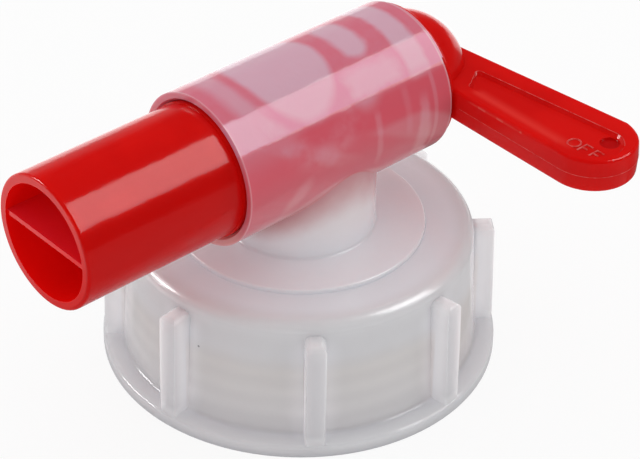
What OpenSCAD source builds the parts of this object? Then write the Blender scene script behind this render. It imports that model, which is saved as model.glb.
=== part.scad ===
// Tap for a liquid canister: a ribbed screw cap, a body with a level barrel,
// and a turning spigot with a spout, a domed end and a lever.
// Millimetres. The floor is the plane z = 0, under the cap's mouth. The barrel lies along x,
// with the spout towards minus x. The lever points towards minus y when the tap is shut.

/* [Screw cap] */
// Radius of the plain wall that carries the inner thread
cap_bore_r = 30.75; // [29:0.05:32]
// Length of that wall
thread_len = 20.2; // [14:0.1:22]
// Step in from that wall to the seat above it, where the washer lies
seat_step = 0.35; // [0.1:0.05:1]
// Thickness of the skirt just above the flange
skirt_foot_wall = 2.15; // [1.5:0.05:4]
// Thickness of the skirt below the shoulder
skirt_top_wall = 1.15; // [0.8:0.05:3]
// Width of the flange at the cap's mouth, from the thread's wall to its edge
flange_w = 6; // [4:0.05:8]
// Height of that flange
flange_h = 2.55; // [1.5:0.05:4]
// Rounding between skirt and top
shoulder_round = 2.2; // [0.5:0.1:3.4]
// Slope cut off the seat's inner corner
seat_chamfer = 0.7; // [0:0.1:1]
// Height of the cap's flat top above the floor
cap_h = 26.1; // [22:0.1:32]
// Thickness of the cap's top
cap_top_t = 1.8; // [1.2:0.1:3]
// Number of grip ribs
rib_count = 8; // [6:1:12]
// Width of a rib
rib_w = 3.6; // [2:0.1:6]
// Distance from the thread's wall to a rib's outer face, at its top
rib_top_out = 5.15; // [3:0.05:6]
// The same at its foot
rib_foot_out = 5.75; // [3:0.05:7]
// Height of a rib's crest above the floor
rib_h = 23.7; // [20:0.1:30]
// Rounding of a rib's upper outer corner
rib_round = 1.2; // [0.5:0.1:3]
// Rounding of a rib's top across its width
rib_crest = 1.3; // [0.3:0.1:1.7]
// Rounding of a rib's long edges
rib_edge = 0.6; // [0.2:0.05:1]
// Turn of the first rib away from the barrel
rib_turn = 8.3; // [0:0.1:45]

/* [Body] */
// Radius of the raised boss in the cap's hole
boss_r = 22.9; // [18:0.05:26]
// Height of the boss's flat top above the floor
boss_h = 26.8; // [24:0.1:32]
// Thickness of the body's flange inside the cap
base_t = 2; // [1:0.05:4]
// Thickness of the boss's plate
boss_t = 2; // [1:0.1:4]
// Radius of the neck under the barrel
neck_r = 13.7; // [10:0.05:16]
// Radius of the passage through the neck
passage_r = 10.4; // [6:0.1:12]
// Fillet at the foot of the neck
neck_fillet = 0.6; // [0.3:0.1:3]
// Height of the barrel's axis above the floor
axis_h = 47.45; // [42:0.05:60]
// Outer radius of the barrel
barrel_r = 14.3; // [12:0.05:18]
// Reach of the barrel towards the spout
barrel_left = 23.9; // [18:0.1:30]
// Reach of the barrel towards the lever, with the stop on its rim
barrel_right = 23.9; // [18:0.05:30]
// Height of the stop on the rim
stop_depth = 0.55; // [0.3:0.05:1.5]
// Outer radius of the stop
stop_r = 14; // [13.5:0.05:14.3]
// Angle spanned by the stop
stop_arc = 102; // [60:1:120]

/* [Spigot] */
// Outer radius of the spout
spigot_r = 12.35; // [10:0.05:16]
// Step up from the spout to the plug that turns in the barrel
plug_step = 0.25; // [0.1:0.05:0.6]
// Length of the plug that stands out of the barrel before that step
plug_out = 0.3; // [0.1:0.05:1]
// Reach of the spout from the cap's axis
spout_reach = 56.9; // [40:0.1:90]
// Wall of the spout
spout_wall = 1.7; // [1:0.05:3]
// Thickness of the baffle across the spout
baffle_t = 0.9; // [0.8:0.1:2]
// Height of the baffle's middle above the barrel's axis
baffle_up = 0.5; // [-3:0.1:3]
// Distance of the baffle's edge behind the spout's mouth
baffle_back = 0.4; // [0:0.1:5]
// Place along the barrel where the baffle turns up between the ports
partition_x = 3.85; // [-4:0.05:6]
// Radius of the round port in the plug
port_r = 9; // [5:0.1:11]
// Distance of the round port's middle from the cap's axis, towards the spout
port_x = 6.4; // [0:0.1:12]
// Half the width of the slot beside it
slot_r = 2.55; // [1:0.05:5]
// Distance of the slot's middle from the cap's axis, towards the lever
slot_x = 8.85; // [6:0.05:12]
// Half the length of the slot
slot_reach = 5.4; // [3:0.1:9]
// Radius of the collar outside the barrel's rim
collar_r = 13.75; // [13:0.05:14.3]
// Thickness of the collar
collar_t = 0.8; // [0.6:0.05:2]
// Radius of the domed end
dome_r = 12.05; // [10:0.05:14]
// Thickness of the domed end's wall
dome_wall = 1.7; // [1:0.1:4]
// Rounding of the spout's outer edge
mouth_round = 0.5; // [0.2:0.1:1]
// Rise of the snap bead on the plug
bead_rise = 0.45; // [0.2:0.05:1]
// Width of the snap bead
bead_w = 1.6; // [1:0.1:4]
// Place of the snap bead along the barrel
bead_x = 19.4; // [12:0.1:21]
// Angle spanned by the lug that meets the stops
lug_arc = 76.8; // [40:0.1:100]

/* [Lever] */
// Distance from the cap's axis to the lever's near edge
lever_near = 24; // [23.7:0.05:28]
// Distance from the cap's axis to the lever's far edge, level with the barrel's axis
lever_far = 35.45; // [30:0.05:40]
// Sideways growth of the far edge for each millimetre of length
lever_slope = 0.126; // [0:0.002:0.3]
// Reach of the lever's tip from the barrel's axis
lever_reach = 48.5; // [30:0.1:70]
// Radius of the rounded tip
tip_r = 8.3; // [5:0.1:12]
// Thickness of the lever
lever_t = 6.4; // [4:0.1:10]
// Rounding of the lever's upper edges
lever_round = 0.7; // [0.4:0.1:2.5]
// Rounding of the lever's lower edges
lever_low_round = 0.6; // [0.3:0.1:2.5]
// Slope taken off each side of the parting line
lever_draft = 0.15; // [0:0.05:0.5]
// Distance from the cap's axis to the pocket's near edge
pocket_near = 27; // [25:0.05:30]
// Radius of the pocket's rounded tip
pocket_r = 4.6; // [2:0.05:6]
// Distance of that rounding's middle from the barrel's axis
pocket_reach = 42.2; // [30:0.1:60]
// Distance of the pocket's inner end from the barrel's axis, at the near edge
pocket_start = 14.2; // [13:0.1:20]
// The same at the far edge
pocket_far_start = 12; // [11:0.1:20]
// Rounding of the pocket's two inner corners
pocket_corner = 1; // [0.2:0.1:2]
// Depth of the pocket
pocket_depth = 0.6; // [0.3:0.1:2.5]
// Distance from the cap's axis to the round dimple
dimple_x = 33.6; // [28:0.05:35]
// Distance of the dimple from the barrel's axis
dimple_reach = 43.1; // [30:0.1:60]
// Radius of the dimple
dimple_r = 1.75; // [1:0.05:3]
// Depth of the dimple below the pocket
dimple_depth = 0.35; // [0.2:0.05:1]

/* [Washer] */
// Inner radius of the sealing washer
washer_hole_r = 24.2; // [18:0.1:27]
// Thickness of the sealing washer
washer_t = 2; // [1:0.1:4]

/* [Fits] */
// Running gap between the plug and the barrel
plug_gap = 0.05; // [0.02:0.01:0.1]
// Running gap between the boss and the cap's hole
boss_gap = 0.05; // [0.02:0.01:0.1]
// Gap between the body's flange and the cap's top
base_gap = 0.05; // [0.02:0.01:0.1]
// Gap between the body's flange and the seat's wall
base_side_gap = 0.9; // [0.8:0.05:3]
// Gap between the washer and the seat's wall
washer_side_gap = 0.1; // [0.05:0.05:1]
// Gap along the barrel on each side of the collar and the bead
end_gap = 0.1; // [0.05:0.01:0.3]

/* [Hidden] */
$fn = 96;
cap_seat_r = cap_bore_r - seat_step;
flange_r = cap_bore_r + flange_w;
skirt_foot_r = cap_bore_r + skirt_foot_wall;
skirt_top_r = cap_bore_r + skirt_top_wall;
rib_top_r = cap_bore_r + rib_top_out;
rib_foot_r = cap_bore_r + rib_foot_out;
base_r = cap_seat_r - base_side_gap;
washer_r = cap_seat_r - washer_side_gap;
cap_under = cap_h - cap_top_t;
base_top = cap_under - base_gap;
base_low = base_top - base_t;
plug_r = spigot_r + plug_step;
bore_r = plug_r + plug_gap;
plug_x = -barrel_left - plug_out;
collar_x = barrel_right + end_gap;
cavity_r = spigot_r - spout_wall;
dome_x = collar_x + 0.1;
tip_y = lever_reach - tip_r;
tip_x = lever_near + tip_r;
far_turn = atan(lever_slope);
skin = 0.05;
red = [0.79, 0.05, 0.04];
natural = [0.86, 0.86, 0.85];
seal = [0.25, 0.25, 0.26];

// Points of an arc about a centre, from one angle to another
function arc(cx, cy, r, a, b, n) = [for (i = [0:n]) [cx + r * cos(a + (b - a) * i / n),
    cy + r * sin(a + (b - a) * i / n)]];

// Half of the cap's wall, cut through the axis
module cap_profile() {
  polygon(concat(
    [[cap_bore_r, 0], [flange_r - 0.4, 0]],
    arc(flange_r - 0.4, 0.4, 0.4, -90, 0, 4),
    arc(flange_r - 0.6, flange_h - 0.6, 0.6, 0, 90, 6),
    arc(skirt_foot_r + 0.8, flange_h + 0.8, 0.8, 270, 180, 6),
    arc(skirt_top_r - shoulder_round, cap_h - shoulder_round, shoulder_round, 0, 90, 10),
    [[boss_r + boss_gap + 0.1, cap_h],
     [boss_r + boss_gap, cap_h - 0.1],
     [boss_r + boss_gap, cap_under],
     [cap_seat_r - seat_chamfer, cap_under],
     [cap_seat_r, cap_under - seat_chamfer],
     [cap_seat_r, thread_len],
     [cap_bore_r, thread_len]]));
}

// A rib's outline seen from above, with rounded outer edges
module rib_plan() {
  translate([cap_bore_r, -rib_w / 2])
    square([rib_foot_r - cap_bore_r - rib_edge, rib_w]);
  translate([cap_bore_r, -rib_w / 2 + rib_edge])
    square([rib_foot_r - cap_bore_r, rib_w - 2 * rib_edge]);
  for (side = [-1, 1])
    translate([rib_foot_r - rib_edge, side * (rib_w / 2 - rib_edge)])
      circle(rib_edge, $fn = 24);
}

// One grip rib, pointing along x: its side view, its plan and its section crossed
module rib() {
  intersection() {
    rotate([90, 0, 0])
      linear_extrude(rib_w + 2, center = true)
        polygon(concat(
          [[cap_bore_r + 0.3, flange_h / 2], [rib_foot_r, flange_h / 2]],
          arc(rib_top_r - rib_round, rib_h - rib_round, rib_round, 0, 90, 8),
          [[cap_bore_r + 0.3, rib_h]]));
    linear_extrude(cap_h)
      rib_plan();
    rotate([90, 0, 90])
      linear_extrude(rib_foot_r + 1)
        polygon(concat(
          [[-rib_w / 2 - skin, 0], [rib_w / 2 + skin, 0]],
          arc(rib_w / 2 - rib_crest, rib_h - rib_crest, rib_crest + skin, 0, 90, 8),
          arc(-rib_w / 2 + rib_crest, rib_h - rib_crest, rib_crest + skin, 90, 180, 8)));
  }
}

module screw_cap() {
  color(natural)
    union() {
      rotate_extrude($fn = 144)
        cap_profile();
      for (i = [0:rib_count - 1])
        rotate([0, 0, rib_turn + i * 360 / rib_count])
          rib();
    }
}

// Flange, boss and neck in one turned shape, solid inside
module base_turned() {
  rotate_extrude($fn = 144)
    polygon(concat(
      [[0, base_low], [base_r, base_low], [base_r, base_top], [boss_r, base_top]],
      arc(boss_r - 0.3, boss_h - 0.3, 0.3, 0, 90, 5),
      arc(neck_r + neck_fillet, boss_h + neck_fillet, neck_fillet, 270, 180, 8),
      [[neck_r, axis_h], [0, axis_h]]));
}

// A sector about the barrel's axis, from one angle to another, angles from y towards z
module sector(a, b, r, x0, x1) {
  translate([x0, 0, axis_h])
    rotate([90, 0, 90])
      linear_extrude(x1 - x0)
        polygon(concat([[0, 0]], arc(0, 0, r, a, b, 24)));
}

module tap_body() {
  low_x = barrel_right - stop_depth;
  color(natural)
    difference() {
      union() {
        base_turned();
        translate([-barrel_left, 0, axis_h])
          rotate([0, 90, 0])
            cylinder(h = low_x + barrel_left, r = barrel_r);
        intersection() {
          translate([low_x - 1, 0, axis_h])
            rotate([0, 90, 0])
              cylinder(h = stop_depth + 1, r = stop_r);
          sector(90 - stop_arc / 2, 90 + stop_arc / 2, barrel_r * 1.3, low_x - 1, barrel_right + 1);
        }
      }
      // bore for the plug
      translate([-barrel_left - 1, 0, axis_h])
        rotate([0, 90, 0])
          cylinder(h = barrel_left + barrel_right + 2, r = bore_r);
      // eased mouth of the bore at the spout end
      translate([-barrel_left - 0.01, 0, axis_h])
        rotate([0, 90, 0])
          cylinder(h = 0.6, r1 = bore_r + 0.5, r2 = bore_r);
      // groove for the snap bead
      translate([bead_x - bead_w / 2 - end_gap, 0, axis_h])
        rotate([0, 90, 0])
          cylinder(h = bead_w + 2 * end_gap, r = bore_r + bead_rise);
      // passage through the neck
      translate([0, 0, base_low - 1])
        cylinder(h = axis_h - base_low + 1, r = passage_r);
      // hollow under the boss
      translate([0, 0, base_low - 1])
        cylinder(h = boss_h - boss_t - base_low + 1, r = boss_r - boss_t);
    }
}

module sealing_washer() {
  color(seal)
    translate([0, 0, base_low - washer_t])
      difference() {
        cylinder(h = washer_t, r = washer_r, $fn = 144);
        translate([0, 0, -1])
          cylinder(h = washer_t + 2, r = washer_hole_r, $fn = 144);
      }
}

// The lever's outline seen from above, drawn in by an even width
module lever_outline(inset) {
  polygon(concat(
    [[lever_near + inset, 0], [lever_near + inset, -tip_y]],
    arc(tip_x, -tip_y, tip_r - inset, 180, 360 - far_turn, 28),
    [[lever_far - inset, 0]]));
}

// The lever as a paddle with rounded edges and a parting line at half its height
module paddle() {
  steps = 4;
  hull() {
    for (side = [-1, 1], i = [0:steps]) {
      a = 90 * i / steps;
      edge = side > 0 ? lever_round : lever_low_round;
      translate([0, 0, axis_h + side * (lever_t / 2 - edge + edge * sin(a)) - 0.005])
        linear_extrude(0.01)
          lever_outline(lever_draft + edge * (1 - cos(a)));
    }
    translate([0, 0, axis_h - 0.005])
      linear_extrude(0.01)
        lever_outline(0);
  }
}

// The pocket's outline seen from above, drawn in by an even width
module pocket_outline(inset) {
  x = pocket_near + pocket_r;
  far = x + pocket_r - lever_slope * (pocket_reach - pocket_far_start);
  side = inset + pocket_corner;
  polygon(concat(
    arc(pocket_near + side, -pocket_start - side, pocket_corner, 90, 180, 6),
    arc(x, -pocket_reach, pocket_r - inset, 180, 360 - far_turn, 20),
    arc(far - side, -pocket_far_start - side, pocket_corner, -far_turn, 90, 6)));
}

// The shallow pocket in the lever's upper face, and the dimple near its tip
module pocket() {
  top = axis_h + lever_t / 2;
  hull() {
    translate([0, 0, top])
      linear_extrude(1)
        pocket_outline(0);
    translate([0, 0, top - pocket_depth])
      linear_extrude(0.01)
        pocket_outline(0.5);
  }
  translate([dimple_x, -dimple_reach, top - pocket_depth - dimple_depth])
    cylinder(h = 3, r = dimple_r, $fn = 48);
}

// Spout, plug, bead, collar and dome as one turned solid
module spigot_turned() {
  plug_end = collar_x + collar_t;
  translate([0, 0, axis_h])
    rotate([0, 90, 0])
      rotate_extrude($fn = 144)
        polygon(concat(
          [[0, -spout_reach]],
          arc(spigot_r - mouth_round, -spout_reach + mouth_round, mouth_round, 270, 360, 5),
          [[spigot_r, plug_x],
           [plug_r, plug_x],
           [plug_r, bead_x - bead_w / 2],
           [plug_r + bead_rise, bead_x - bead_w / 2 + bead_rise],
           [plug_r + bead_rise, bead_x + bead_w / 2],
           [plug_r, bead_x + bead_w / 2],
           [plug_r, collar_x],
           [collar_r - 0.2, collar_x],
           [collar_r, collar_x + 0.2]],
          arc(collar_r - 0.5, plug_end - 0.5, 0.5, 0, 90, 5),
          arc(0, dome_x, dome_r, asin((plug_end - dome_x) / dome_r), 90, 24)));
}

// The room inside the spigot, round at its closed end
module spigot_room() {
  translate([0, 0, axis_h])
    rotate([0, 90, 0])
      rotate_extrude($fn = 144)
        polygon(concat(
          [[0, -spout_reach - 1], [cavity_r, -spout_reach - 1]],
          arc(0, dome_x - dome_wall, cavity_r, 0, 90, 20)));
}

// The lug that meets the stops of the barrel's rim, on the side away from the lever
module stop_lug() {
  low = barrel_right - stop_depth + end_gap;
  translate([0, 0, axis_h])
    rotate([0, 90, 0])
      rotate([0, 0, 90 - lug_arc / 2])
        rotate_extrude(angle = lug_arc)
          translate([plug_r - 0.4, low])
            square([collar_r - plug_r + 0.15, collar_x + 0.15 - low]);
}

// The plate that parts the liquid from the air, and its turn up between the ports
module baffles() {
  low = axis_h + baffle_up - baffle_t / 2;
  intersection() {
    union() {
      translate([-spout_reach + baffle_back, -spigot_r, low])
        cube([spout_reach - baffle_back + partition_x + baffle_t, 2 * spigot_r, baffle_t]);
      translate([partition_x, -spigot_r, low])
        cube([baffle_t, 2 * spigot_r, 2 * spigot_r]);
    }
    translate([-spout_reach, 0, axis_h])
      rotate([0, 90, 0])
        cylinder(h = spout_reach + partition_x + 2 * baffle_t, r = cavity_r + spout_wall / 2);
  }
}

// The round port for the liquid and the slot for the air, in the plug's top
module ports() {
  low = axis_h + spigot_r * 0.35;
  translate([-port_x, 0, low])
    cylinder(h = spigot_r, r = port_r);
  translate([slot_x - slot_r, -slot_reach + slot_r, low])
    cube([2 * slot_r, 2 * (slot_reach - slot_r), spigot_r]);
  for (side = [-1, 1])
    translate([slot_x, side * (slot_reach - slot_r), low])
      cylinder(h = spigot_r, r = slot_r, $fn = 48);
}

module spigot() {
  color(red)
    difference() {
      union() {
        difference() {
          union() {
            spigot_turned();
            stop_lug();
            difference() {
              paddle();
              pocket();
            }
          }
          spigot_room();
        }
        baffles();
      }
      ports();
    }
}

screw_cap();
tap_body();
sealing_washer();
spigot();
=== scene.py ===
"""Looks of the jerrycan tap: camera, light, materials, cap thread and lever lettering.

Metres, in the CAD model's frame: the floor is z = 0, the barrel lies along x with the spout
towards minus x, and the lever points towards minus y when the tap is shut.
"""
import math

import bmesh
import bpy
from mathutils import Matrix, Vector


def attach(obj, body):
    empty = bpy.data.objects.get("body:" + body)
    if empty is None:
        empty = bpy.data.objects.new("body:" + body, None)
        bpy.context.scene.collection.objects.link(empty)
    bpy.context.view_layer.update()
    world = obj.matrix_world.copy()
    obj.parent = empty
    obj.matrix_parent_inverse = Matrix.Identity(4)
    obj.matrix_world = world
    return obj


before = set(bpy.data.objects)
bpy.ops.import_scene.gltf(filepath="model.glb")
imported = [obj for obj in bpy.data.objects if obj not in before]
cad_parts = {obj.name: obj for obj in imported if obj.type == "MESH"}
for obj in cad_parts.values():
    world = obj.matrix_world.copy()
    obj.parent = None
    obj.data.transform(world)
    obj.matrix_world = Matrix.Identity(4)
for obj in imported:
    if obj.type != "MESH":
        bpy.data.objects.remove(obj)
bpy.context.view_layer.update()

MM = 0.001

# Sizes repeated from the CAD source, in metres
AXIS_H = 47.45 * MM
CAP_BORE_R = 30.75 * MM
LEVER_T = 6.4 * MM
LEVER_NEAR = 24 * MM
LEVER_SLOPE = 0.126
LEVER_TIP_R = 8.3 * MM
LEVER_TIP_Y = 40.2 * MM
POCKET_NEAR = 27 * MM
POCKET_R = 4.6 * MM
POCKET_REACH = 42.2 * MM
POCKET_START = 14.2 * MM
POCKET_FAR_START = 12 * MM
LEVER_TOP = AXIS_H + LEVER_T / 2
POCKET_FLOOR = LEVER_TOP - 0.6 * MM

# Sizes and places that the materials paint by, in the millimetres of their shaders; RIB_TURN is
# in degrees. The bore, port and slot differ by a little from the CAD source, where the photo
# shows the colours end.
BARREL_R = 14.3
SPOUT_BORE_R = 10.7
BAFFLE_TOP = 48.4
DIMPLE_X, DIMPLE_REACH, DIMPLE_R = 33.6, 43.1, 1.75
CAP_FOOT_R = 32.9
CAP_WALL_TAPER = 0.042
RIB_COUNT, RIB_TURN, RIB_W = 8, 8.3, 3.6
FLANGE_H = 2.55
PORT_X, PORT_HALF_X, PORT_HALF_AROUND = -6.5, 8.6, 13.1
SLOT_X, SLOT_HALF_AROUND = 8.4, 3.2
THREAD_PITCH = 4.0
LETTER_H = 2.6

# --- Camera, fitted to the photograph -------------------------------------------------------

CAM_AZIMUTH = math.radians(-42.4)
CAM_ELEVATION = math.radians(35.895)
CAM_ROLL = math.radians(1.156)
CAM_PLACE = Vector((-244.02, -272.67, 288.38)) * MM
CAM_LENS = 138.3


def make_camera():
    a, e = CAM_AZIMUTH, CAM_ELEVATION
    back = Vector((math.sin(a) * math.cos(e), -math.cos(a) * math.cos(e), math.sin(e)))
    right = Vector((math.cos(a), math.sin(a), 0))
    up = back.cross(right)
    c, s = math.cos(CAM_ROLL), math.sin(CAM_ROLL)
    axes = (c * right + s * up, c * up - s * right, back)
    data = bpy.data.cameras.new("camera")
    data.lens = CAM_LENS
    data.sensor_width = 36
    data.clip_start = 0.01
    cam = bpy.data.objects.new("camera", data)
    cam.matrix_world = Matrix.Translation(CAM_PLACE) @ Matrix(axes).transposed().to_4x4()
    bpy.context.scene.collection.objects.link(cam)
    bpy.context.scene.camera = cam


make_camera()
bpy.context.scene.view_settings.view_transform = "Standard"

# --- Shader arithmetic ----------------------------------------------------------------------


class Term:
    """A value in a shader's graph. Sums and products of terms become Math nodes."""

    def __init__(self, graph, socket):
        self.graph, self.socket = graph, socket

    def op(self, kind, *others):
        return self.graph.math(kind, self, *others)

    def __add__(self, o): return self.op("ADD", o)
    def __radd__(self, o): return self.op("ADD", o)
    def __sub__(self, o): return self.op("SUBTRACT", o)
    def __rsub__(self, o): return self.graph.math("SUBTRACT", o, self)
    def __mul__(self, o): return self.op("MULTIPLY", o)
    def __rmul__(self, o): return self.op("MULTIPLY", o)
    def __truediv__(self, o): return self.op("DIVIDE", o)
    def max(self, o): return self.op("MAXIMUM", o)
    def min(self, o): return self.op("MINIMUM", o)
    def abs(self): return self.op("ABSOLUTE")
    def sqrt(self): return self.op("SQRT")
    def sin(self): return self.op("SINE")


class Graph:
    """Short names for one node tree."""

    def __init__(self, tree):
        self.tree = tree

    def node(self, kind, **values):
        n = self.tree.nodes.new(kind)
        for name, value in values.items():
            setattr(n, name, value)
        return n

    def term(self, socket):
        return Term(self, socket)

    def link(self, value, socket):
        if isinstance(value, Term):
            self.tree.links.new(value.socket, socket)
        elif hasattr(value, "is_output"):
            self.tree.links.new(value, socket)
        else:
            socket.default_value = value

    def math(self, kind, *values):
        n = self.node("ShaderNodeMath", operation=kind)
        for i, value in enumerate(values):
            self.link(value, n.inputs[i])
        return self.term(n.outputs[0])

    def axes(self, vector):
        n = self.node("ShaderNodeSeparateXYZ")
        self.link(vector, n.inputs[0])
        return [self.term(s) for s in n.outputs]

    def place(self, x, y, z):
        n = self.node("ShaderNodeCombineXYZ")
        for i, value in enumerate((x, y, z)):
            self.link(value, n.inputs[i])
        return n.outputs[0]

    def noise(self, vector, scale, detail=2.0, rough=0.5):
        n = self.node("ShaderNodeTexNoise")
        self.link(vector, n.inputs["Vector"])
        n.inputs["Scale"].default_value = scale
        n.inputs["Detail"].default_value = detail
        n.inputs["Roughness"].default_value = rough
        return self.term(n.outputs["Fac"])

    def blend(self, share, a, b):
        n = self.node("ShaderNodeMix", data_type="RGBA")
        self.link(share, n.inputs["Factor"])
        for value, socket in ((a, n.inputs[6]), (b, n.inputs[7])):
            self.link((*value, 1) if isinstance(value, tuple) else value, socket)
        return n.outputs[2]


def smooth(value, low, high):
    """Rises from 0 to 1 between the two limits."""
    g = value.graph
    n = g.node("ShaderNodeMapRange", interpolation_type="SMOOTHSTEP")
    g.link(value, n.inputs["Value"])
    n.inputs["From Min"].default_value = low
    n.inputs["From Max"].default_value = high
    return g.term(n.outputs["Result"])


def window(value, a, b, c, d):
    """Rises from a to b and falls from c to d."""
    return smooth(value, a, b) * (1 - smooth(value, c, d))


# --- Light ----------------------------------------------------------------------------------


def mirrored_light(name, direction, size_x, size_y, power):
    """A rectangular light that only shows in reflections; size_x runs along the barrel."""
    distance = 0.6
    target = Vector((0, 0, AXIS_H))
    z = Vector(direction).normalized()
    along = Vector((1, 0, 0))
    x = (along - along.dot(z) * z).normalized()
    y = z.cross(x)
    data = bpy.data.lights.new(name, "AREA")
    data.shape = "RECTANGLE"
    data.size, data.size_y = size_x, size_y
    data.energy = power
    light = bpy.data.objects.new(name, data)
    light.visible_diffuse = False
    turn = Matrix((x, y, z)).transposed().to_4x4()
    light.matrix_world = Matrix.Translation(target + z * distance) @ turn
    bpy.context.scene.collection.objects.link(light)


# The softbox gives the sharp bright strip along the barrel; the world gives the even light.
mirrored_light("softbox", (0.546, -0.463, 0.699), 0.36, 0.475, 3.9)
# A second one, behind on the left, lights the lever's near edge and the cap's left shoulder.
mirrored_light("side_box", (-0.52, 0.69, 0.49), 0.22, 0.22, 2.6)


def empty_graph(owner):
    """Empties the owner's node tree; gives its graph and whether a ray is seen or mirrored."""
    owner.use_nodes = True
    owner.node_tree.nodes.clear()
    g = Graph(owner.node_tree)
    path = g.node("ShaderNodeLightPath")
    camera, through, glossy = (g.term(path.outputs[name]) for name in (
        "Is Camera Ray", "Is Transmission Ray", "Is Glossy Ray"))
    return g, camera.max(through), glossy


def make_world():
    """White for the camera, an even light on the surfaces, and a dim studio in reflections."""
    world = bpy.data.worlds.new("studio")
    bpy.context.scene.world = world
    g, seen, glossy = empty_graph(world)
    x, y, height = g.axes(g.node("ShaderNodeTexCoord").outputs["Generated"])
    below = 1 - smooth(height, -0.02, 0.06)
    even = 0.72 + height * 0.22 + x * 0.15 + y * 0.16
    # behind the object the mirrored world stays bright near the horizon
    behind = smooth(y, 0.35, 0.75) * (1 - smooth(height, 0.15, 0.5))
    dull = even + glossy * (0.06 + below * 0.12 + behind * 0.35 - even)
    strength = dull + seen * (1 - dull)
    light = g.node("ShaderNodeBackground")
    light.inputs["Color"].default_value = (1, 1, 1, 1)
    g.link(strength, light.inputs["Strength"])
    out = g.node("ShaderNodeOutputWorld")
    g.link(light.outputs[0], out.inputs["Surface"])


make_world()

# --- Floor ----------------------------------------------------------------------------------


def make_floor():
    """White for the camera, with the object's soft shadow on it."""
    mesh = bpy.data.meshes.new("floor")
    half = 1.5
    corners = [(-half, -half, 0), (half, -half, 0), (half, half, 0), (-half, half, 0)]
    mesh.from_pydata(corners, [], [(0, 1, 2, 3)])
    floor = bpy.data.objects.new("floor", mesh)
    bpy.context.scene.collection.objects.link(floor)
    mat = bpy.data.materials.new("floor_white")
    g, seen, glossy = empty_graph(mat)
    matt = g.node("ShaderNodeBsdfDiffuse")
    matt.inputs["Color"].default_value = (0.97, 0.97, 0.97, 1)
    glow = g.node("ShaderNodeEmission")
    glow.inputs["Color"].default_value = (1, 1, 1, 1)
    # what the plastic mirrors: a table that ends to the right, and a bright floor behind
    x, y, _ = g.axes(g.node("ShaderNodeNewGeometry").outputs["Position"])
    table = 1 - smooth(x + y * 0.5, 0.036, 0.046)
    shine = (0.15 + table * 0.30).max(smooth(y, 0.02, 0.06) * 1.3)
    g.link(seen + glossy * shine, glow.inputs["Strength"])
    mix = g.node("ShaderNodeMixShader")
    g.link(seen * 0.87 + glossy, mix.inputs[0])
    g.link(matt.outputs[0], mix.inputs[1])
    g.link(glow.outputs[0], mix.inputs[2])
    out = g.node("ShaderNodeOutputMaterial")
    g.link(mix.outputs[0], out.inputs["Surface"])
    mesh.materials.append(mat)


make_floor()

# --- Materials ------------------------------------------------------------------------------


def new_material(name):
    """A material with its graph, its shader and the surface's own coordinates in millimetres."""
    mat = bpy.data.materials.new(name)
    mat.use_nodes = True
    g = Graph(mat.node_tree)
    bsdf = mat.node_tree.nodes["Principled BSDF"]
    scale = g.node("ShaderNodeVectorMath", operation="SCALE")
    scale.inputs["Scale"].default_value = 1 / MM
    g.link(g.node("ShaderNodeTexCoord").outputs["Object"], scale.inputs[0])
    return mat, g, bsdf, scale.outputs[0]


def bump(g, bsdf, height, depth):
    """Presses the height, from 0 to 1, into the surface to the given depth in metres."""
    n = g.node("ShaderNodeBump")
    n.inputs["Strength"].default_value = 1
    n.inputs["Distance"].default_value = depth
    g.link(height, n.inputs["Height"])
    g.tree.links.new(n.outputs[0], bsdf.inputs["Normal"])


def scatter(bsdf, weight, radius, scale=None):
    """Lets light scatter under the surface; the radius is a share of the scale for each colour."""
    bsdf.inputs["Subsurface Weight"].default_value = weight
    bsdf.inputs["Subsurface Radius"].default_value = radius
    if scale is not None:
        bsdf.inputs["Subsurface Scale"].default_value = scale


def around_barrel(g, y, up):
    """Angle about the barrel's axis in degrees: 0 faces minus y, 90 is up."""
    return g.math("ARCTAN2", up, y * -1) * (180 / math.pi)


def from_axis(y, z):
    """Distance from the barrel's axis."""
    up = z - AXIS_H / MM
    return (y * y + up * up).sqrt()


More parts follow.
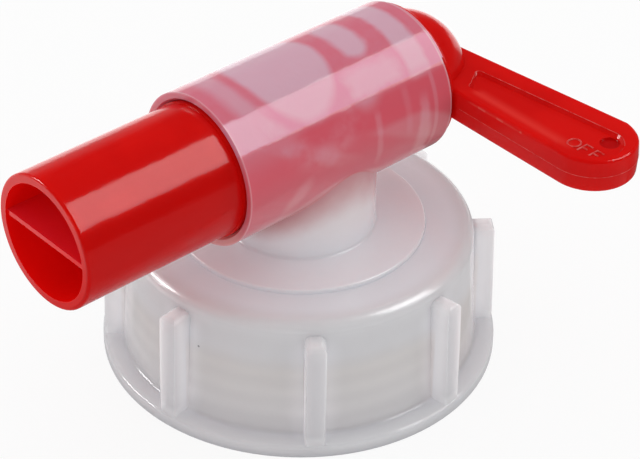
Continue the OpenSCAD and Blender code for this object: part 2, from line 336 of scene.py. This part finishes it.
def red_plastic():
    """Smooth moulded polyethylene, glossy, with a faint flow pattern and fine scuffs."""
    mat, g, bsdf, p = new_material("red_plastic")
    x, y, z = g.axes(p)
    flow = g.noise(p, 0.09, 3.0)
    grain = g.noise(p, 1.3, 3.0, 0.6)
    deep = g.blend(smooth(flow, 0.35, 0.65), (0.690, 0.0032, 0.0022), (0.750, 0.0048, 0.0032))
    # painted light in the open spout's inside, where light gathers, and a painted highlight on the
    # baffle's upper face
    off_axis = from_axis(y, z)
    inside = 1 - smooth(off_axis, SPOUT_BORE_R, SPOUT_BORE_R + 0.15)
    inside = inside * (1 - smooth(x, -30, -10))
    baffle_highlight = inside * (1 - smooth((z - BAFFLE_TOP).abs(), 0.04, 0.12))
    deep = g.blend(baffle_highlight * 0.8, deep, (0.600, 0.016, 0.030))
    # painted shade: the dimple in the lever's top is darker
    u, v = x - DIMPLE_X, y + DIMPLE_REACH
    dimple_shade = 1 - smooth((u * u + v * v).sqrt(), DIMPLE_R - 0.25, DIMPLE_R + 0.25)
    dimple_shade = dimple_shade * smooth(z, 49, 49.5)
    deep = g.blend(dimple_shade, deep, (0.540, 0.0022, 0.0026))
    # painted highlights on the lever: a sheen along the pocket's near side and pale dashes on the
    # near edge
    out = y * -1
    sheen = window(x, 25.4, 26.6, 27.2, 29.5) * window(out, 15.5, 17.5, 36, 42)
    sheen = sheen * smooth(z, 49.0, 49.6)
    deep = g.blend(sheen * 0.8, deep, (0.800, 0.038, 0.030))
    edge_glints = window(out, 19.8, 20.2, 21.6, 22.2).max(window(out, 24.4, 24.8, 26.0, 26.6))
    edge_glints = edge_glints.max(window(out, 30.2, 30.4, 30.7, 31.0)) * 0.7
    edge_glints = edge_glints.max(window(out, 17, 19, 27, 33) * 0.25)
    near = LEVER_NEAR / MM
    edge_glints = edge_glints * window(x, near - 0.05, near + 0.05, near + 0.12, near + 0.24)
    deep = g.blend(edge_glints * smooth(z, 49.7, 49.9), deep, (0.800, 0.160, 0.130))
    # painted shade: the spout's lower half on the camera side is a little deeper
    angle = around_barrel(g, y, z - AXIS_H / MM)
    shaded = smooth(off_axis, 11.5, 11.8) * (1 - smooth(x, -26, -24))
    shaded = shaded * window(angle, -70, -45, 28, 42)
    deep = g.blend(shaded * 0.8, deep, (0.560, 0.0022, 0.0016))
    g.link(deep, bsdf.inputs["Base Color"])
    # a faint painted glow inside the spout
    bsdf.inputs["Emission Color"].default_value = (0.60, 0.0015, 0.0012, 1)
    g.link(inside * 0.15, bsdf.inputs["Emission Strength"])
    g.link(0.20 - shaded * (1 - smooth(angle, -12, 8)) * 0.10, bsdf.inputs["Specular IOR Level"])
    scatter(bsdf, 0.35, (1.0, 0.10, 0.05), 4 * MM)
    # fine scuffs, and two turned lines near the spout's middle
    scuffs = g.noise(g.place(x * 3.0, y * 0.12, z * 0.12), 1.0, 4.0, 0.7)
    rough = 0.11 + smooth(grain, 0.3, 0.8) * 0.05 + smooth(scuffs, 0.62, 0.75) * 0.12
    g.link(rough, bsdf.inputs["Roughness"])
    marks = window(x, -34.8, -34.65, -34.6, -34.45) * 0.7
    marks = marks.max(window(x, -35.5, -35.35, -35.3, -35.15))
    relief = g.noise(p, 0.55, 2.0) + grain * 0.25 + scuffs * 0.10 - marks * 0.2
    bump(g, bsdf, relief, 0.03 * MM)
    return mat


def spot_at(x, angle, x0, angle0, half_x, half_angle):
    """1 in the middle of a soft oval on the barrel, 0 outside it."""
    u, v = (x - x0) * (1 / half_x), (angle - angle0) * (1 / half_angle)
    return 1 - smooth((u * u + v * v).sqrt(), 0.2, 1.0)


def barrel_pattern(g, p):
    """How milky the barrel looks: 0 where the red plug touches its wall, 1 over a hollow.

    Also gives the angle about the barrel and where the strip of light lies. Positions are along
    the barrel in millimetres and around it in degrees.
    """
    x, y, z = g.axes(p)
    z = z - AXIS_H / MM
    # the far side mirrors the camera's side, without the strip of light
    angle = around_barrel(g, y.abs() * -1, z)
    down = (angle - 90).abs() * math.radians(BARREL_R)
    upper = smooth(angle, 33, 41)
    blur = g.noise(p, 0.35, 2.0) - 0.5
    # the round port, and the ring where the plug stands off around it
    u, v = (x - PORT_X) / PORT_HALF_X, down / PORT_HALF_AROUND
    ring = (u * u + v * v).sqrt() + blur * 0.06
    port = 1 - smooth(ring, 0.90, 1.10)
    left = 1 - smooth(x, -9, -4)
    cloudy = (1 - smooth(angle, 45, 62)) * (0.12 + blur * 0.5)
    halo = window(ring, 1.12, 1.36, 1.50, 1.85) * (left * upper * 0.60 + cloudy)
    # the slot beside it
    u, v = x - SLOT_X, (down - SLOT_HALF_AROUND).max(0)
    slot = 1 - smooth((u * u + v * v).sqrt() + blur, 1.9, 3.8)
    # the groove near the lever's end
    groove = window(x + blur, 14.7, 16.3, 19.5, 21.0) * smooth(angle, 30, 44)
    # the hollow between slot and strip of light
    band = window(x + blur * 3, 0.5, 4.0, 12.0, 15.5)
    band = band * window(angle + blur * 8, 34, 42, 52, 64) * 0.75
    strip = window(angle, 36, 38, 60, 63) * (1 - smooth(y, -2, 0))
    total = port.max(slot).max(groove).max(band).max(halo)
    # painted light: under the strip of light the barrel is painted less milky, and milkier near
    # the spout
    total = (total * (1 - strip * 0.45)).max(strip * (1 - smooth(x, -19, -13)) * 0.40)
    # soft light clouds and streaks below the strip
    limb = window(x + angle * 0.39 + 2.7 + blur * 2, -5.0, -1.0, 0.5, 4.5)
    limb = limb * window(angle, -12, 6, 24, 38) * (0.22 + blur * 0.4)
    patch = spot_at(x - angle * 0.16 + blur, angle, -10.6, -14, 3.2, 19) * 0.27
    core = spot_at(x + blur * 2, angle, -6, 12, 4.5, 14) * 0.20
    fan = spot_at(x + blur, angle, 4.6, 42, 4.8, 20) * 0.55
    spout_end = (1 - smooth(x, -14, -9)) * window(angle, 12, 34, 38, 40) * 0.22
    line = window(x + blur, 4.9, 5.7, 6.1, 7.0) * window(angle, -24, -6, 18, 28) * 0.24
    faint = window(x, 11.8, 12.8, 13.2, 14.2) * window(angle, -10, 2, 28, 36) * 0.12
    wedge = (x + blur - 16.8).abs() / (2.2 - angle * 0.03)
    wedge = (1 - smooth(wedge, 0.25, 0.9)) * window(angle, -50, -30, 10, 26) * 0.36
    thin = window(x, 18.9, 19.4, 19.8, 20.3) * 0.24
    glow = window(x + angle * 0.5, 7, 11, 19, 23) * (1 - smooth(angle, 6, 14)) * 0.21
    clouds = limb + patch + core + fan + spout_end + line + faint + wedge + thin + glow
    under = 1 - smooth(angle + blur * 6, -50, -22)
    total = total.max((1 - upper) * clouds).max(under * 0.7)
    return total.min(1), angle, strip


def body_plastic():
    """Natural polyethylene, pale on the neck and tinted by the red plug behind the barrel."""
    mat, g, bsdf, p = new_material("body_plastic")
    x, y, z = g.axes(p)
    milky, angle, strip = barrel_pattern(g, p)
    mottle = g.noise(p, 0.4, 3.0, 0.6)
    low = g.blend(smooth(angle, -20, 25), (0.660, 0.150, 0.185), (0.730, 0.118, 0.160))
    high = g.blend(mottle, (0.735, 0.170, 0.235), (0.715, 0.225, 0.300))
    touch = g.blend(smooth(angle, 30, 42), low, high)
    # painted light: under the strip of light the touching colour is set apart
    touch = g.blend(strip, touch, (0.700, 0.165, 0.290))
    haze = g.blend(smooth(angle, -40, 40), (0.800, 0.440, 0.430), (0.730, 0.435, 0.530))
    barrel = g.blend(milky, touch, haze)
    # where the neck meets the barrel
    edge = angle + 18 + (x + 1.5) * (x + 1.5) * 0.13
    barrel = g.blend((1 - smooth(edge, -5, 3)) * 0.8, barrel, (0.720, 0.325, 0.345))
    fine = g.noise(p, 0.25, 3.0)
    pale = g.blend(fine, (0.800, 0.800, 0.830), (0.820, 0.825, 0.855))
    # the barrel's colour ends on its own surface, and the neck and boss are pale
    off_axis = from_axis(y, z)
    on_barrel = window(off_axis, 12.2, 12.6, BARREL_R + 0.05, BARREL_R + 0.2)
    # the red shows through the neck's top and fades downwards
    tint = 1 - smooth(off_axis + fine, 14.2, 20.0)
    neck = g.blend(smooth(z, 27, 36) * 0.5, pale, (0.740, 0.620, 0.600))
    neck = g.blend(tint * 0.95, neck, (0.620, 0.270, 0.290))
    rims = smooth(x * -1, 23.55, 23.8).max(window(x, 22.9, 23.1, 23.35, 23.6))
    rims = rims * smooth(off_axis, 13.9, 14.25)
    barrel = g.blend(rims * 0.4, barrel, (0.760, 0.460, 0.500))
    g.link(g.blend(on_barrel, neck, barrel), bsdf.inputs["Base Color"])
    grain = g.noise(p, 1.1, 3.0, 0.6)
    g.link(0.10 + smooth(grain, 0.3, 0.8) * 0.06, bsdf.inputs["Roughness"])
    bsdf.inputs["Specular IOR Level"].default_value = 0.31
    # light that has wandered through the milky neck and boss
    wandered = g.blend(on_barrel.max(tint), (0.80, 0.74, 0.80), (0.0, 0.0, 0.0))
    g.link(wandered, bsdf.inputs["Emission Color"])
    bsdf.inputs["Emission Strength"].default_value = 0.08
    scatter(bsdf, 0.5, (1.0, 0.8, 0.8), 2 * MM)
    bump(g, bsdf, g.noise(p, 0.45, 2.0) + grain * 0.2, 0.04 * MM)
    return mat


# Dark specks in the cap: place and radius
CAP_SPECKS = (
    ((-31.2, -8.4, 17.3), 0.32),
    ((-29.9, -21.3, 3.5), 0.30),
    ((-22.0, -23.6, 3.7), 0.22),
)


def cap_plastic():
    """Natural polyethylene, milky, greyer where the thread lies behind the wall."""
    mat, g, bsdf, p = new_material("cap_plastic")
    x, y, z = g.axes(p)
    r = (x * x + y * y).sqrt()
    clouds = g.noise(p, 0.12, 3.0)
    fine = g.noise(g.place(x * 0.4, y * 0.4, z * 1.6), 0.5, 3.0, 0.6)
    thin = window(z + clouds * 1.5, 2.6, 4.0, 16.0, 20.5)
    thin = thin * (1 - smooth(r, CAP_FOOT_R, CAP_FOOT_R + 0.7))
    azimuth = g.math("ARCTAN2", y, x)
    rise = azimuth * (THREAD_PITCH / (2 * math.pi))
    lines = ((z - rise) * (2 * math.pi / THREAD_PITCH)).sin() * 0.5 + 0.5
    body = g.blend(clouds, (0.600, 0.600, 0.605), (0.640, 0.640, 0.645))
    # painted shade: the cap is darker towards plus x
    body = g.blend(smooth(x, 16, 34) * 0.6, body, (0.500, 0.510, 0.520))
    # painted shade: the ribs' outer parts above the flange are darker
    body = g.blend(smooth(r, 34.0, 36.5) * smooth(z, 3.0, 5.0), body, (0.450, 0.450, 0.460))
    wall = g.blend(lines * 0.5 + fine * 0.5, (0.560, 0.540, 0.520), (0.620, 0.600, 0.575))
    warm = window(x, -4, 8, 18, 29) * (1 - smooth(y, -22, -8)) * (1 - smooth(z, 12, 20))
    wall = g.blend(warm, wall, (0.500, 0.460, 0.430))
    color = g.blend(thin * 0.85, body, wall)
    # painted light: the cap's top is paler and bluer
    top = smooth(z, 24.5, 26) * (1 - smooth(r, 27, 31))
    color = g.blend(top, color, (0.700, 0.730, 0.755))
    specks = None
    for place, size in CAP_SPECKS:
        d = g.node("ShaderNodeVectorMath", operation="DISTANCE")
        g.link(p, d.inputs[0])
        d.inputs[1].default_value = place
        spot = 1 - smooth(g.term(d.outputs["Value"]), size * 0.5, size)
        specks = spot if specks is None else specks.max(spot)
    g.link(g.blend(specks * 0.85, color, (0.06, 0.05, 0.05)), bsdf.inputs["Base Color"])
    grain = g.noise(p, 0.9, 3.0, 0.6)
    shoulder = smooth(z, 23.5, 24.2) * window(r, 29.5, 30.5, 32.5, 33)
    g.link(0.05 + smooth(grain, 0.3, 0.8) * 0.05 + shoulder * 0.13, bsdf.inputs["Roughness"])
    scatter(bsdf, 1, (1.0, 0.97, 0.97))
    ribs = smooth(r, 32.3, 33.0)
    specular = 0.35 + shoulder * 0.35 - ribs * smooth(z, 3, 4) * 0.2
    g.link(specular, bsdf.inputs["Specular IOR Level"])
    g.link(0.004 + ribs * 0.014, bsdf.inputs["Subsurface Scale"])
    # light that has wandered through the milky wall, more of it in the corners beside the ribs
    off_wall = (r - CAP_FOOT_R + z * CAP_WALL_TAPER).max(0)
    step = 2 * math.pi / RIB_COUNT
    along = azimuth - math.radians(RIB_TURN)
    along = (g.math("FLOORED_MODULO", along + step / 2, step) - step / 2).abs() * r
    beside = (along - RIB_W / 2).max(0)
    above = z - FLANGE_H
    rib_corner = 1 - smooth((beside * beside + off_wall * off_wall).sqrt(), 0, 3.8)
    foot_corner = 1 - smooth((above * above + off_wall * off_wall).sqrt(), 0, 4.0)
    corners = (rib_corner * window(z, 1.0, 3.0, 20.0, 24.5)).max(foot_corner * 0.3)
    bsdf.inputs["Emission Color"].default_value = (0.80, 0.78, 0.85, 1)
    g.link(0.13 + corners * 0.09, bsdf.inputs["Emission Strength"])
    bump(g, bsdf, g.noise(p, 0.28, 2.0) + grain * 0.10, 0.06 * MM)
    return mat


def washer_rubber():
    """Matt grey rubber with a fine grain."""
    mat, g, bsdf, p = new_material("washer_rubber")
    fine = g.noise(p, 4.0, 3.0, 0.7)
    g.link(g.blend(fine, (0.10, 0.10, 0.105), (0.17, 0.17, 0.175)), bsdf.inputs["Base Color"])
    g.link(0.55 + fine * 0.3, bsdf.inputs["Roughness"])
    bump(g, bsdf, fine, 0.06 * MM)
    return mat


RED = red_plastic()
BODY = body_plastic()
CAP = cap_plastic()
SEAL = washer_rubber()

MATERIALS = {"screw_cap": CAP, "tap_body": BODY, "spigot": RED, "sealing_washer": SEAL}

for node, mat in MATERIALS.items():
    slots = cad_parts[node].data.materials
    slots.clear()
    slots.append(mat)

# --- Cap thread -----------------------------------------------------------------------------


def add_piece(name, data, body, mat):
    """Puts a new piece in the scene, on the body that carries it."""
    obj = bpy.data.objects.new(name, data)
    bpy.context.scene.collection.objects.link(obj)
    data.materials.append(mat)
    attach(obj, body)


def make_thread():
    """A raised helix inside the cap, almost three turns, running out at both ends."""
    pitch, turns, steps, start = THREAD_PITCH * MM, 2.9, 96, 3.6 * MM
    run_out = 16
    # the section: outwards from the bore and upwards, in millimetres
    lower = [(0.12, -1.15), (-0.55, -0.72), (-1.05, -0.42), (-1.15, -0.25)]
    shape = lower + [(out, -up) for out, up in reversed(lower)]
    bm = bmesh.new()
    rings = []
    count = int(turns * steps)
    for i in range(count + 1):
        a = 2 * math.pi * i / steps
        fade = math.sin(min(1, i / run_out, (count - i) / run_out) * math.pi / 2)
        middle = start + pitch * a / (2 * math.pi)
        ring = []
        for dr, dz in shape:
            r = CAP_BORE_R + (dr * fade if dr < 0 else dr) * MM
            z = middle + dz * MM * (0.4 + 0.6 * fade)
            ring.append(bm.verts.new((r * math.cos(a), r * math.sin(a), z)))
        rings.append(ring)
    for a, b in zip(rings, rings[1:]):
        for i in range(len(shape)):
            j = (i + 1) % len(shape)
            bm.faces.new((a[i], a[j], b[j], b[i]))
    bm.faces.new(rings[0][::-1])
    bm.faces.new(rings[-1])
    bmesh.ops.recalc_face_normals(bm, faces=bm.faces)
    mesh = bpy.data.meshes.new("cap_thread")
    bm.to_mesh(mesh)
    bm.free()
    for face in mesh.polygons:
        face.use_smooth = True
    add_piece("cap_thread", mesh, "cap", CAP)


make_thread()

# --- Lever lettering and fine lines ---------------------------------------------------------


def oval(half_w, half_h, n):
    """n points on an oval that stands on the line of writing."""
    turns = [2 * math.pi * i / n for i in range(n)]
    return [(half_w * (1 + math.cos(t)), half_h * (1 + math.sin(t))) for t in turns]


# The strokes of each letter, in millimetres
LETTERS = {
    "O": [oval(1.15, LETTER_H / 2, 24)],
    "F": [[(0, 0), (0, LETTER_H), (1.5, LETTER_H)], [(0, 1.4), (1.25, 1.4)]],
    "N": [[(0, 0), (0, LETTER_H), (1.7, 0), (1.7, LETTER_H)]],
}


def edge_plastic():
    """The red plastic of the raised letters and fine lines, paler in patches: a painted highlight
    on their edges.
    """
    mat, g, bsdf, p = new_material("edge_plastic")
    patchy = g.noise(p, 0.8, 3.0, 0.6)
    color = g.blend(smooth(patchy, 0.35, 0.65), (0.720, 0.020, 0.016), (0.780, 0.130, 0.120))
    g.link(color, bsdf.inputs["Base Color"])
    g.link(0.25 + patchy * 0.2, bsdf.inputs["Roughness"])
    bsdf.inputs["Specular IOR Level"].default_value = 0.2
    bump(g, bsdf, patchy, 0.01 * MM)
    return mat


# the paler plastic of the letters and fine lines; its paleness is a painted highlight
EDGE = edge_plastic()


def fine_lines(name, strokes, radius):
    """Thin raised lines on the lever, half sunk into the surface they stand on."""
    data = bpy.data.curves.new(name, "CURVE")
    data.dimensions = "3D"
    data.bevel_depth = radius
    data.bevel_resolution = 2
    data.use_fill_caps = True
    for points, closed in strokes:
        spline = data.splines.new("POLY")
        spline.points.add(len(points) - 1)
        spline.use_cyclic_u = closed
        for point, place in zip(spline.points, points):
            point.co = (*place, 1)
    add_piece(name, data, "valve", EDGE)


def raised_word(name, letters, place, across, up, step):
    """Raised letters; step gives where each starts, across from the word's place."""
    place, across, up = Vector(place), Vector(across), Vector(up)
    strokes = []
    for i, letter in enumerate(letters):
        for stroke in LETTERS[letter]:
            points = [place + across * ((step[i] + u) * MM) + up * (v * MM) for u, v in stroke]
            strokes.append((points, letter == "O"))
    fine_lines(name, strokes, 0.16 * MM)


raised_word("off_letters", "OFF", (27.55 * MM, -37.92 * MM, POCKET_FLOOR + 0.05 * MM),
            (0, -1, 0), (1, 0, 0), (0, 2.97, 5.5))
raised_word("on_letters", "ON", (32.6 * MM, -38.2 * MM, AXIS_H - LEVER_T / 2),
            (0, -1, 0), (-1, 0, 0), (0, 3.0))


def arc(cx, cy, r, a, b, n):
    """n + 1 points on a circle from angle a to angle b, in degrees."""
    return [(cx + r * math.cos(math.radians(a + (b - a) * i / n)),
             cy + r * math.sin(math.radians(a + (b - a) * i / n))) for i in range(n + 1)]


def make_fine_lines():
    """The flash around the lever where the mould's halves met, and a painted highlight along the
    pocket's far rim.
    """
    turn = math.degrees(math.atan(LEVER_SLOPE))
    sunk = 0.05 * MM
    near = LEVER_NEAR + sunk
    line = [(near, -15.5 * MM), (near, -28 * MM)]
    line += arc(LEVER_NEAR + LEVER_TIP_R, -LEVER_TIP_Y, LEVER_TIP_R - sunk, 180, 360 - turn, 40)
    x, y = line[-1]
    line.append((x - LEVER_SLOPE * (-14 * MM - y), -14 * MM))
    fine_lines("lever_parting_line", [([(x, y, AXIS_H) for x, y in line], False)], 0.07 * MM)

    # a pale line on the pocket's far rim, a painted highlight
    corner = 1 * MM
    cx = POCKET_NEAR + POCKET_R
    far = cx + POCKET_R - LEVER_SLOPE * (POCKET_REACH - POCKET_FAR_START)
    rim = arc(POCKET_NEAR + corner, -POCKET_START - corner, corner, 160, 90, 6)
    rim += arc(far - corner, -POCKET_FAR_START - corner, corner, 90, -turn, 8)
    rim += arc(cx, -POCKET_REACH, POCKET_R, -turn, -55, 12)
    fine_lines("pocket_rim_highlight", [([(x, y, LEVER_TOP) for x, y in rim], False)], 0.06 * MM)


make_fine_lines()
